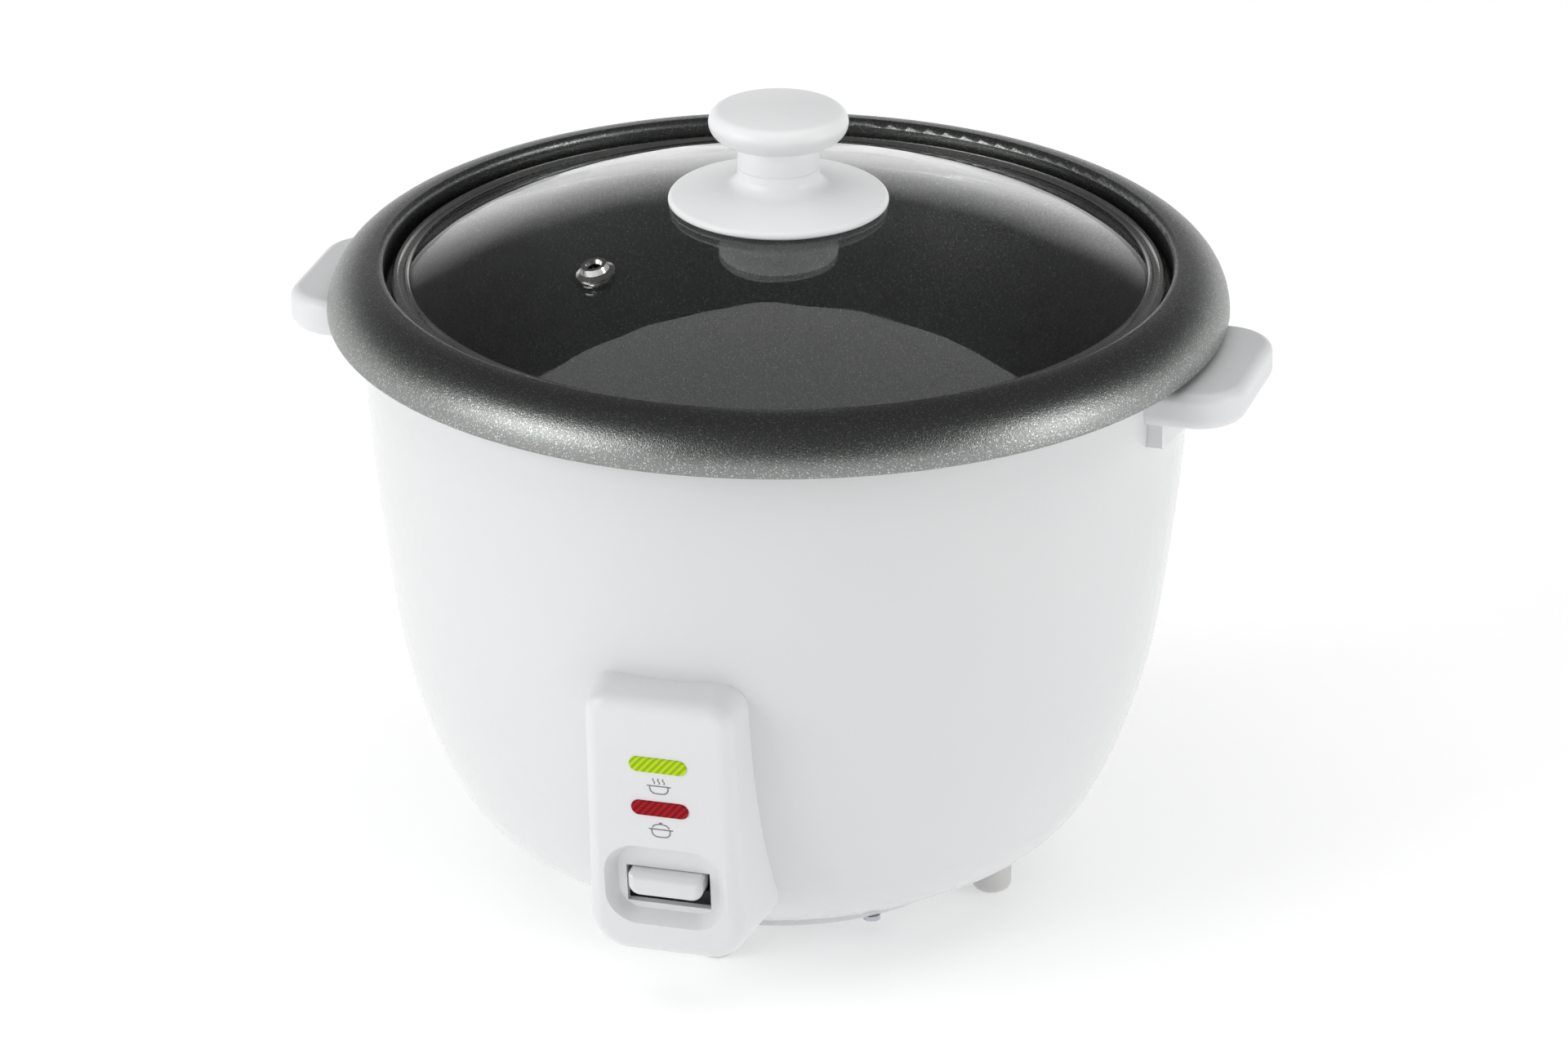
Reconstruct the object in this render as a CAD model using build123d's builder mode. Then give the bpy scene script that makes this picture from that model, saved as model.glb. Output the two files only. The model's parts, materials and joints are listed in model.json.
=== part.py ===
from build123d import *
from math import asin, cos, degrees, hypot, radians, sin, sqrt
import os

# Rice cooker, about 1.8 litres. Millimetres, +Z up, origin on the floor below the middle
# of the round body. The control panel faces -Y and the two side handles lie on +X and -X.

os.makedirs("parts", exist_ok=True)

CENTRE_MIN = (Align.CENTER, Align.CENTER, Align.MIN)
CENTRE_MAX = (Align.CENTER, Align.CENTER, Align.MAX)

# ---- driving dimensions --------------------------------------------------------------
# body
BODY_BOTTOM = 8.2            # underside of the round body above the floor
BODY_FLAT_R = 60.0           # flat underside
SHELL_WALL = 1.0
BODY_START_ANGLE = 24.3      # slope of the bowl's outer curve where it leaves the flat
BODY_ARCS = [                # (radius, turn in degrees) of its tangent arcs, going up
    (223.6, 6.7),
    (39.5, 31.7),
    (175.5, 17.9),
    (734.7, 7.3),
]
TOP_MOUTH_R = 117.6          # opening that the liner drops through
BOTTOM_MOUTH_R = 56.0        # opening that the base cover closes

# inner pot
POT_WALL = 1.5
POT_FLOOR = 58.0             # underside of the pot, on the heating plate
RIM_LIP_R = 135.0            # widest point of the rolled rim
RIM_LIP_Z = 184.0
RIM_ROLL_R = 15.0            # radius of the quarter-round rim
RIM_BEAD_R = 1.0
SEAT_R = 118.0               # wall above the lid seat
SEAT_Z = 189.0
POT_MOUTH_R = 111.5          # inside radius just below the seat
POT_BASE_R = 102.0           # where the side would meet the floor without its corner
POT_CORNER_R = 24.0

# lid
DOME_R = 265.0               # outer radius of the glass dome
DOME_CENTRE_Z = -46.4
GLASS = 3.2
GLASS_EDGE_R = 113.0
LID_RING_R = 115.7
LID_RING_INNER_R = 110.4
VENT_R = 68.0                # distance of the steam vent from the axis
VENT_ANGLE = 36.0            # degrees to the left of the front
VENT_HOLE_R = 1.9
VENT_TUBE_R = 3.6
VENT_FLANGE_R = 5.9

# knob
KNOB_SKIRT_R = 32.9
KNOB_NECK_R = 12.3
KNOB_SEAM_Z = 228.5         # joint between its base and its top
KNOB_NECK_TOP = 237.0
KNOB_CAP_R = 20.9
KNOB_TOP = 247.5
KNOB_EDGE_R = 3.8            # roundness of the cap's rim
KNOB_SCREW_R = 2.5
KNOB_SCREW_DEPTH = 8.0

# heating plate and thermostat
PLATE_R = 80.0
PLATE_BOTTOM = 50.0
PLATE_HOLE_R = 20.6
ELEMENT_R = 62.0             # radius of the heating element's ring
ELEMENT_TUBE_R = 4.0
ELEMENT_Z = 46.5
ELEMENT_SWEEP = 318.0
LINER_WALL = 0.8
LINER_FLOOR = 47.2
LINER_HOLE_R = 73.0
CAP_R = 20.0
CAP_TOP = POT_FLOOR - 0.2
CAP_WALL = 1.2
HOUSING_R = 12.4
HOUSING_BORE_R = 11.0
HOUSING_BOTTOM = 35.8        # clears the lever's inner end when the lever is down
HOUSING_TOP = 50.0
BRACKET_Z = 45.0             # flange of the thermostat housing
FERRITE_R = 8.4
FERRITE_BOTTOM = 50.0
MAGNET_R = 7.5
MAGNET_BOTTOM = 40.0
MAGNET_TOP = 44.5
ROD_R = 2.0
ROD_TIP = 31.35

# cooking lever
PIVOT_Y = -60.0
PIVOT_Z = 30.0
PIN_R = 1.5
RUNNING_CLEARANCE = 0.05
LEVER_WIDTH = 12.0
LEVER_THICKNESS = 2.0
LEVER_TIP_Y = -109.0
LEVER_TIP_Z = 44.5           # its outer end steps up to the key
EAR_X = 8.6                  # inner face of the bracket's ears

# control panel: its face leans, so that its top stands further out than its bottom
PANEL_TOP_Z = 108.0
PANEL_TOP_Y = -130.0
PANEL_BOTTOM_Z = 22.0
PANEL_BOTTOM_Y = -118.2
PANEL_TOP_HALF = 22.0
PANEL_BOTTOM_HALF = 23.4
PANEL_DRAFT = 8.0
PANEL_WALL = 2.2
PANEL_DEPTH = 62.0
LENS_LENGTH = 17.6
LENS_HEIGHT = 5.1
GREEN_Z = 87.4
RED_Z = 72.6
DISH_WIDTH = 36.5
DISH_HEIGHT = 27.0
DISH_Z = 45.5
DISH_DEPTH = 4.6
WINDOW_WIDTH = 25.6
WINDOW_LOW = 37.0
WINDOW_HIGH = 49.2

# handles
HANDLE_TIP = 148.0
HANDLE_HALF = 30.0
HANDLE_TOP = 180.8
HANDLE_THICK = 11.6
HANDLE_CORNER_R = 15.0
FLANGE_R = 128.2
FLANGE_HALF = 27.0
FLANGE_LOW = 162.0

# feet and power inlet
FOOT_RING_R = 67.5
FOOT_R = 6.0
FOOT_PAD_R = 3.2
INLET_Z = 33.0
INLET_FACE_Y = 108.0
INLET_BACK_Y = 87.0
SOCKET_WIDTH = 24.4
SOCKET_HEIGHT = 16.6
SOCKET_DEPTH = 17.0

INLET_BODY_WIDTH = 31.0      # part of the inlet that passes through the shell
INLET_BODY_HEIGHT = 22.0
INLET_BODY_LENGTH = 20.0
INLET_HOOD_WIDTH = 42.0      # part that shows outside
INLET_HOOD_HEIGHT = 26.0
PIN_SPACING = 7.0
PIN_STAGGER = 1.8            # the middle pin stands higher than the outer two
PIN_WIDTH = 2.0
PIN_HEIGHT = 4.0

# indicator lamps
LAMP_R = 2.0
LAMP_LENGTH = 11.0
LAMP_GAP = 3.6               # from the back of the panel's face to the lamp's axis
HOLDER_GAP = 5.2
LENS_PROUD = 0.5
LENS_FLANGE = 1.2

# screws: (head radius, head height, shank radius)
WIDE_SCREW = (3.0, 2.0, 1.6)
MEDIUM_SCREW = (2.6, 1.4, 1.4)
SMALL_SCREW = (2.0, 1.4, 1.1)
BREAK_EDGE = 0.3             # small chamfer that marks a joint


# ---- helpers ---------------------------------------------------------------------------
def turned(*outline):
    """A round part: the closed outline of (radius, height) points turned about Z."""
    with BuildPart() as part:
        with BuildSketch(Plane.XZ):
            with BuildLine():
                Polyline(*outline, close=True)
            make_face()
        revolve(axis=Axis.Z)
    return part


def drill(places, radius, depth):
    """Cut a round hole at each place, from its plane down against the plane's normal."""
    with Locations(*places):
        Cylinder(radius, depth, align=CENTRE_MAX, mode=Mode.SUBTRACT)


def screws(places, size, length):
    """Pan-head screws with a cross recess. Each place is a plane on the seat of the head,
    its normal pointing out of the head."""
    head_radius, head_height, shank_radius = size
    with BuildPart() as part:
        with Locations(*places):
            Cylinder(head_radius, head_height, align=CENTRE_MIN)
            Cylinder(shank_radius, length, align=CENTRE_MAX)
        with Locations(*[place.offset(0.7 * head_height) for place in places]):
            Box(1.2 * head_radius, 0.3 * head_radius, head_height,
                align=CENTRE_MIN, mode=Mode.SUBTRACT)
            Box(0.3 * head_radius, 1.2 * head_radius, head_height,
                align=CENTRE_MIN, mode=Mode.SUBTRACT)
    return part


def coil(radius, wire, low, high, turns):
    """A compression spring on the Z axis between two heights."""
    rise = high - low - wire
    with BuildPart() as part:
        with BuildLine(Plane.XY.offset(low + wire / 2)) as path:
            Helix(pitch=rise / turns, height=rise, radius=radius)
        with BuildSketch(Plane(origin=path.line @ 0, z_dir=path.line % 0)):
            Circle(wire / 2)
        sweep(path=path.line)
    return part


def polar(radius, angle, height):
    """A point at an angle in degrees counted from the front (-Y) towards +X."""
    return (radius * sin(radians(angle)), -radius * cos(radians(angle)), height)


def save(part, name):
    part.part.label = name
    export_step(part.part, f"parts/{name}.step")


# ---- places of the fasteners --------------------------------------------------------
FLANGE_SCREW_Z = 170.0
SIDE_SCREW_OFFSET = 14.0
HANDLE_PLACES = {
    side: [
        Plane(origin=(side * 121.5, y, FLANGE_SCREW_Z), x_dir=(0, 1, 0), z_dir=(-side, 0, 0))
        for y in (-SIDE_SCREW_OFFSET, SIDE_SCREW_OFFSET)
    ]
    for side in (-1, 1)
}
PANEL_PLACES = [
    Plane(origin=(x, -113.0, 98.0), x_dir=(1, 0, 0), z_dir=(0, 1, 0)) for x in (-11.0, 11.0)
]
PLATE_PLACES = [
    Plane(origin=polar(76.5, angle, LINER_FLOOR), z_dir=(0, 0, -1)) for angle in (60, 180, 300)
]
HOUSING_PLACES = [Plane(origin=(x, 0, BRACKET_Z), z_dir=(0, 0, -1)) for x in (-34.0, 34.0)]
COVER_PLACES = [
    Plane(origin=polar(58.0, angle, BODY_BOTTOM - 2.0), z_dir=(0, 0, -1))
    for angle in (45, 135, 225, 315)
]
FOOT_ANGLES = {"front": 0, "right": 90, "back": 180, "left": 270}
FOOT_PLACES = [
    Plane(origin=polar(FOOT_RING_R, angle, 16.5), z_dir=(0, 0, 1))
    for angle in FOOT_ANGLES.values()
]
LEVER_BRACKET_PLACES = [Plane(origin=(x, -46.0, BODY_BOTTOM + 1.2)) for x in (-5.0, 5.0)]
SWITCH_PLACES = [
    Plane(origin=(18.9, y, 18.5), x_dir=(0, 1, 0), z_dir=(1, 0, 0)) for y in (-52.0, -40.0)
]
INLET_PLACES = [
    Plane(origin=(x, INLET_FACE_Y, INLET_Z), x_dir=(1, 0, 0), z_dir=(0, 1, 0))
    for x in (-17.0, 17.0)
]


# ---- round body ------------------------------------------------------------------------
def bowl(depth):
    """The solid bowl inside a curve that lies some depth inside the body's outer curve."""
    slope = BODY_START_ANGLE
    start = Vector(BODY_FLAT_R - depth * sin(radians(slope)),
                   BODY_BOTTOM + depth * cos(radians(slope)))
    with BuildPart() as part:
        with BuildSketch(Plane.XZ):
            with BuildLine():
                end = start
                for arc_radius, turn in BODY_ARCS:
                    heading = (cos(radians(slope)), sin(radians(slope)))
                    end = JernArc(end, heading, arc_radius - depth, turn) @ 1
                    slope += turn
                Polyline(end, (0, end.Y), (0, start.Y), start)
            make_face()
        revolve(axis=Axis.Z)
    return part


body_form = bowl(0)
body_top_face = body_form.faces().sort_by(Axis.Z)[-1]
BODY_TOP = body_top_face.center().Z
BODY_TOP_R = body_top_face.edges()[0].radius
with BuildPart() as body_cavity:
    add(bowl(SHELL_WALL).part)
    with Locations((0, 0, BODY_TOP - SHELL_WALL)):
        Cylinder(2 * BODY_TOP_R, 10, align=CENTRE_MIN, mode=Mode.SUBTRACT)

# slots for the lever and the lamps, the inlet's hole and the screw holes are cut from it
with BuildPart() as outer_shell:
    add(body_form.part)
    add(body_cavity.part, mode=Mode.SUBTRACT)
    Cylinder(BOTTOM_MOUTH_R, 100, mode=Mode.SUBTRACT)
    with Locations((0, 0, BODY_TOP)):
        Cylinder(TOP_MOUTH_R, 20, mode=Mode.SUBTRACT)
    with Locations((0, -100, 42.5)):
        Box(18.0, 24.0, 17.0, mode=Mode.SUBTRACT)
    with Locations((0, 98, INLET_Z)):
        Box(INLET_BODY_WIDTH, 30.0, INLET_BODY_HEIGHT, mode=Mode.SUBTRACT)
    with Locations((0, -118, GREEN_Z - 7.3)):
        Box(18.0, 14.0, 26.0, mode=Mode.SUBTRACT)
    for side in (-1, 1):
        drill([place.offset(1) for place in HANDLE_PLACES[side]], 1.6, 10)
    drill([place.offset(1) for place in PANEL_PLACES], 1.4, 10)
    drill([place.offset(2) for place in FOOT_PLACES], 1.6, 12)
    drill([place.offset(1) for place in COVER_PLACES], 1.4, 8)

# pressed liner that hangs in the body from its top flange
with BuildPart() as inner_liner:
    with BuildSketch(Plane.XZ):
        with BuildLine() as liner_line:
            FilletPolyline(
                (BODY_TOP_R - 0.8, BODY_TOP + LINER_WALL / 2),
                (TOP_MOUTH_R - 1.5, BODY_TOP + LINER_WALL / 2), (108.8, 88.0), (102.6, 60.0),
                (90.8, LINER_FLOOR + LINER_WALL / 2), (LINER_HOLE_R, LINER_FLOOR + LINER_WALL / 2),
                radius=[1.6, 40.0, 12.0, 8.0],
            )
        trace(lines=liner_line.line, line_width=LINER_WALL)
    revolve(axis=Axis.Z)
    drill([place.offset(2) for place in PLATE_PLACES], 1.6, 6)

BAND_LOW = 108.0
BAND_HIGH = 138.0
BAND_LOW_R = 111.4
BAND_HIGH_R = 113.8
BAND_THICK = 1.2
with BuildPart() as keep_warm_band:
    with BuildSketch(Plane.XZ):
        with BuildLine():
            Polyline((BAND_LOW_R, BAND_LOW), (BAND_LOW_R + BAND_THICK, BAND_LOW),
                     (BAND_HIGH_R + BAND_THICK, BAND_HIGH), (BAND_HIGH_R, BAND_HIGH), close=True)
        make_face()
    revolve(axis=Axis.Z, revolution_arc=300)

# ---- heating plate ------------------------------------------------------------------
with BuildPart() as heating_element:
    with BuildSketch(Plane.XZ):
        with Locations((ELEMENT_R, ELEMENT_Z)):
            Circle(ELEMENT_TUBE_R)
    revolve(axis=Axis.Z, revolution_arc=ELEMENT_SWEEP)
    for angle in (90, 90 - (360 - ELEMENT_SWEEP)):
        end = polar(ELEMENT_R, angle, ELEMENT_Z)
        with Locations(end):
            Sphere(ELEMENT_TUBE_R)
            Cylinder(ELEMENT_TUBE_R, 15, align=CENTRE_MAX)
            Cylinder(1.3, 22, align=CENTRE_MAX)

with BuildPart() as heating_plate:
    with BuildSketch(Plane.XZ):
        with BuildLine():
            Polyline(
                (PLATE_HOLE_R, PLATE_BOTTOM), (53.0, PLATE_BOTTOM), (55.0, 43.4), (69.0, 43.4),
                (71.0, PLATE_BOTTOM), (PLATE_R, PLATE_BOTTOM), (PLATE_R, POT_FLOOR - 1.2),
                (PLATE_R - 1.2, POT_FLOOR), (PLATE_HOLE_R + 0.8, POT_FLOOR),
                (PLATE_HOLE_R, POT_FLOOR - 0.8), close=True,
            )
        make_face()
    revolve(axis=Axis.Z)
    with Locations(*[place.offset(-(PLATE_BOTTOM - LINER_FLOOR)) for place in PLATE_PLACES]):
        Cylinder(3.2, PLATE_BOTTOM - LINER_FLOOR - LINER_WALL, align=CENTRE_MIN)
    with Locations(*[place.offset(-(PLATE_BOTTOM - BRACKET_Z)) for place in HOUSING_PLACES]):
        Cylinder(4.0, PLATE_BOTTOM - BRACKET_Z - 1.2, align=CENTRE_MIN)
    drill(PLATE_PLACES, 1.6, 8)
    drill(HOUSING_PLACES, 1.4, 8)
    add(heating_element.part, mode=Mode.SUBTRACT)

plate_screws = screws(PLATE_PLACES, WIDE_SCREW, 8)

# ---- thermostat under the middle of the pot -------------------------------------------
with BuildPart() as thermostat_housing:
    with BuildSketch(Plane.XY.offset(BRACKET_Z)):
        Circle(19.0)
        SlotOverall(80.0, 12.0)
    extrude(amount=1.2)
    with Locations((0, 0, HOUSING_BOTTOM)):
        Cylinder(HOUSING_R, HOUSING_TOP - HOUSING_BOTTOM, align=CENTRE_MIN)
        Cylinder(HOUSING_BORE_R, HOUSING_TOP - HOUSING_BOTTOM - 1.0, align=CENTRE_MIN,
                 mode=Mode.SUBTRACT)
    with Locations((0, 0, HOUSING_BOTTOM)):
        Cylinder(HOUSING_R, 1.2, align=CENTRE_MIN)
        Cylinder(ROD_R + RUNNING_CLEARANCE, 1.2, align=CENTRE_MIN, mode=Mode.SUBTRACT)
    with Locations((0, 0, HOUSING_TOP)):
        Cylinder(FERRITE_R + 0.5, 1.0, align=CENTRE_MAX, mode=Mode.SUBTRACT)
    drill([place.offset(1) for place in HOUSING_PLACES], 1.4, 4)

thermostat_screws = screws(HOUSING_PLACES, MEDIUM_SCREW, 8)

sensor_cap = turned(
    (0, CAP_TOP), (CAP_R - 1, CAP_TOP), (CAP_R, CAP_TOP - 1), (CAP_R, PLATE_BOTTOM),
    (CAP_R - CAP_WALL, PLATE_BOTTOM), (CAP_R - CAP_WALL, CAP_TOP - CAP_WALL),
    (0, CAP_TOP - CAP_WALL),
)
ferrite = turned(
    (0, FERRITE_BOTTOM), (FERRITE_R, FERRITE_BOTTOM), (FERRITE_R, CAP_TOP - CAP_WALL),
    (0, CAP_TOP - CAP_WALL),
)
sensor_spring = coil(15.0, 1.2, BRACKET_Z + 1.2, CAP_TOP - CAP_WALL, 2.5)

magnet = turned(
    (0, MAGNET_BOTTOM), (MAGNET_R, MAGNET_BOTTOM), (MAGNET_R, MAGNET_TOP), (0, MAGNET_TOP),
)
magnet_rod = turned(
    (0, ROD_TIP), (1.0, ROD_TIP), (ROD_R, ROD_TIP + 1.0), (ROD_R, MAGNET_BOTTOM - 1.4),
    (HOUSING_BORE_R - 0.6, MAGNET_BOTTOM - 1.4), (HOUSING_BORE_R - 0.6, MAGNET_BOTTOM),
    (0, MAGNET_BOTTOM),
)
magnet_spring = coil(9.2, 0.9, MAGNET_BOTTOM, HOUSING_TOP - 1.0, 3)

# ---- cooking lever -----------------------------------------------------------------------
with BuildPart() as cook_lever:
    with BuildSketch(Plane.YZ):
        with BuildLine() as lever_line:
            FilletPolyline((5, PIVOT_Z), (-68, PIVOT_Z), (-92, LEVER_TIP_Z),
                           (LEVER_TIP_Y, LEVER_TIP_Z), radius=4)
        trace(lines=lever_line.line, line_width=LEVER_THICKNESS)
    extrude(amount=LEVER_WIDTH / 2, both=True)
    with Locations((LEVER_WIDTH / 2, -45, PIVOT_Z)):
        Box(11.0, 6.0, LEVER_THICKNESS, align=(Align.MIN, Align.CENTER, Align.CENTER))
    with BuildSketch(Plane.YZ):
        with Locations((PIVOT_Y, PIVOT_Z)):
            Circle(3.4)
    extrude(amount=LEVER_WIDTH / 2, both=True)
    with BuildSketch(Plane.YZ):
        with Locations((PIVOT_Y, PIVOT_Z)):
            Circle(PIN_R + RUNNING_CLEARANCE)
    extrude(amount=LEVER_WIDTH, both=True, mode=Mode.SUBTRACT)

with BuildPart() as lever_pin:
    with Locations((0, PIVOT_Y, PIVOT_Z)):
        Cylinder(PIN_R, 2 * EAR_X + 4.0, rotation=(0, 90, 0))
        with Locations((EAR_X + 2.0, 0, 0)):
            Cylinder(2.4, 0.8, rotation=(0, 90, 0))

with BuildPart() as lever_bracket:
    with Locations((0, -46, BODY_BOTTOM)):
        Box(2 * EAR_X + 2.4, 15.0, 1.2, align=CENTRE_MIN)
    for side in (-1, 1):
        with BuildSketch(Plane.YZ.offset(side * (EAR_X + 0.6))):
            with BuildLine():
                Polyline((-38.5, BODY_BOTTOM), (-53.5, BODY_BOTTOM), (-64, PIVOT_Z - 2),
                         (-64, PIVOT_Z + 4), (-56, PIVOT_Z + 4), (-52, 24.0), (-38.5, 22.0),
                         close=True)
            make_face()
            with Locations((PIVOT_Y, PIVOT_Z)):
                Circle(PIN_R, mode=Mode.SUBTRACT)
        extrude(amount=0.6, both=True)
    drill([place.offset(1) for place in LEVER_BRACKET_PLACES], 1.4, 4)
    drill([place.offset(1) for place in SWITCH_PLACES], 1.1, 12)

with BuildPart() as microswitch:
    with Locations((EAR_X + 1.2, -46, 13.8)):
        Box(6.4, 20.0, 10.4, align=(Align.MIN, Align.CENTER, Align.MIN))
    fillet(microswitch.edges().filter_by(Axis.X), 0.8)
    with Locations((EAR_X + 4.4, -38, 13.8), (EAR_X + 4.4, -46, 13.8), (EAR_X + 4.4, -54, 13.8)):
        Box(0.8, 3.2, 2.8, align=CENTRE_MAX)
    with Locations((EAR_X + 4.4, -45, 24.2)):
        Cylinder(1.2 + RUNNING_CLEARANCE, 3.0, align=CENTRE_MAX, mode=Mode.SUBTRACT)
    drill([place.offset(1) for place in SWITCH_PLACES], 1.1, 12)

with BuildPart() as switch_plunger:
    with Locations((EAR_X + 4.4, -45, 22.0)):
        Cylinder(1.2, PIVOT_Z - LEVER_THICKNESS / 2 - 0.1 - 22.0, align=CENTRE_MIN)

switch_screws = screws(
    [Plane(origin=(EAR_X + 7.6, p.origin.Y, p.origin.Z), x_dir=(0, 1, 0), z_dir=(1, 0, 0))
     for p in SWITCH_PLACES], SMALL_SCREW, 8.6)
bracket_screws = screws(LEVER_BRACKET_PLACES, MEDIUM_SCREW, 3.0)

# ---- base cover, feet and electrical parts ------------------------------------------
with BuildPart() as base_cover:
    with Locations((0, 0, BODY_BOTTOM)):
        Cylinder(60.0, 2.0, align=CENTRE_MAX)
    fillet(base_cover.edges().group_by(Axis.Z)[0], 1.0)
    with BuildSketch(Plane.XY.offset(BODY_BOTTOM)):
        with PolarLocations(30.0, 12):
            SlotOverall(16.0, 3.0)
    extrude(amount=-2.0, mode=Mode.SUBTRACT)
    drill([place.offset(1) for place in COVER_PLACES], 1.4, 6)
    drill(LEVER_BRACKET_PLACES, 1.4, 4)

base_screws = screws(COVER_PLACES, MEDIUM_SCREW, 5.0)


def foot(angle):
    """A moulded foot: a rounded peg that meets the sloping body, with a flat pad."""
    with BuildPart() as part:
        with Locations(polar(FOOT_RING_R, angle, 0)):
            Cylinder(FOOT_R, 18.0, align=CENTRE_MIN)
        fillet(part.edges().group_by(Axis.Z)[0], FOOT_R - FOOT_PAD_R)
        add(body_form.part, mode=Mode.SUBTRACT)
        with Locations(polar(FOOT_RING_R, angle, 4.0)):
            Cylinder(1.6, 20.0, align=CENTRE_MIN, mode=Mode.SUBTRACT)
    return part


feet = {f"foot_{name}": foot(angle) for name, angle in FOOT_ANGLES.items()}
foot_screws = screws(FOOT_PLACES, WIDE_SCREW, 12.5)

with BuildPart() as terminal_block:
    with Locations((22, 26, BODY_BOTTOM)):
        Box(30.0, 13.0, 11.0, align=CENTRE_MIN)
    with Locations(*[(22 + x, 26 + y, BODY_BOTTOM + 11.0) for x in (-9, 0, 9) for y in (-3.4, 3.4)]):
        Cylinder(2.0, 5.0, align=CENTRE_MAX, mode=Mode.SUBTRACT)

with BuildPart() as thermal_fuse:
    with Locations((-37, 18, 46.6)):
        Cylinder(2.0, 11.0, rotation=(0, 90, 0))
        Cylinder(0.5, 21.0, rotation=(0, 90, 0))

with BuildPart() as fuse_clip:
    with BuildSketch(Plane.YZ.offset(-40.0)):
        with Locations((18, 46.6)):
            Circle(2.8)
            Circle(2.0, mode=Mode.SUBTRACT)
        with Locations((18, 49.6)):
            Rectangle(14.0, 0.8)
        with Locations((18, 46.6)):
            Circle(2.0, mode=Mode.SUBTRACT)
    extrude(amount=6.0)

with BuildPart() as power_inlet:
    with Locations((0, INLET_FACE_Y, INLET_Z)):
        Box(INLET_HOOD_WIDTH, INLET_HOOD_HEIGHT, INLET_HOOD_HEIGHT,
            align=(Align.CENTER, Align.MAX, Align.CENTER))
    add(body_form.part, mode=Mode.SUBTRACT)
    with Locations((0, INLET_BACK_Y, INLET_Z)):
        Box(INLET_BODY_WIDTH, INLET_BODY_LENGTH, INLET_BODY_HEIGHT,
            align=(Align.CENTER, Align.MIN, Align.CENTER))
    with BuildSketch(Plane.XZ.offset(-INLET_FACE_Y)):
        with Locations((0, INLET_Z)):
            Rectangle(SOCKET_WIDTH, SOCKET_HEIGHT)
    extrude(amount=SOCKET_DEPTH, mode=Mode.SUBTRACT)
    drill([place.offset(1) for place in INLET_PLACES], 1.4, 12)

inlet_screws = screws(INLET_PLACES, MEDIUM_SCREW, 9.0)

with BuildPart() as inlet_pins:
    for x, z in ((-PIN_SPACING, INLET_Z - PIN_STAGGER), (0, INLET_Z + PIN_STAGGER),
                 (PIN_SPACING, INLET_Z - PIN_STAGGER)):
        with Locations((x, INLET_FACE_Y - SOCKET_DEPTH, z)):
            Box(PIN_WIDTH, 15.0, PIN_HEIGHT, align=(Align.CENTER, Align.MIN, Align.CENTER))
            Box(PIN_WIDTH, 12.0, PIN_HEIGHT, align=(Align.CENTER, Align.MAX, Align.CENTER))
with BuildPart(mode=Mode.PRIVATE) as drilled_inlet:
    add(power_inlet.part)
    add(inlet_pins.part, mode=Mode.SUBTRACT)
power_inlet = drilled_inlet

# ---- control panel -------------------------------------------------------------------
# The face plane's Y direction runs up the face; FACE_SLANT turns heights into distances
# along it, counted from the face's middle.
FACE_MID_Z = (PANEL_TOP_Z + PANEL_BOTTOM_Z) / 2
FACE_MID_Y = (PANEL_TOP_Y + PANEL_BOTTOM_Y) / 2
FACE_RISE = PANEL_TOP_Z - PANEL_BOTTOM_Z
FACE_RUN = PANEL_TOP_Y - PANEL_BOTTOM_Y
FACE_LENGTH = hypot(FACE_RISE, FACE_RUN)
FACE_SLANT = FACE_LENGTH / FACE_RISE
FACE_PLANE = Plane(
    origin=(0, FACE_MID_Y, FACE_MID_Z), x_dir=(1, 0, 0),
    z_dir=(0, -FACE_RISE / FACE_LENGTH, FACE_RUN / FACE_LENGTH),
)


def up_face(height):
    """Distance up the face plane from its middle, for a height above the floor."""
    return (height - FACE_MID_Z) * FACE_SLANT


def panel_block(inset):
    """The panel's outer form, or its cavity when inset by the wall."""
    top, bottom = FACE_LENGTH / 2 - inset, -FACE_LENGTH / 2 + inset
    with BuildPart() as part:
        with BuildSketch(FACE_PLANE.offset(-inset)) as outline:
            with BuildLine():
                Polyline((-PANEL_TOP_HALF + inset, top), (PANEL_TOP_HALF - inset, top),
                         (PANEL_BOTTOM_HALF - inset, bottom),
                         (-PANEL_BOTTOM_HALF + inset, bottom), close=True)
            make_face()
            fillet(outline.vertices().group_by(Axis.Y)[-1], 6.5 - inset)
            fillet(outline.vertices().group_by(Axis.Y)[0], 11.0 - inset)
        extrude(amount=-(PANEL_DEPTH - inset), taper=-PANEL_DRAFT)
        fillet(part.faces().sort_by(Axis.Y)[0].edges(), 4.6 - inset)
    return part


panel_form = panel_block(0)
panel_cavity = panel_block(PANEL_WALL)
LENS_PLACES = {"green": (0, up_face(GREEN_Z)), "red": (0, up_face(RED_Z))}

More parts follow.
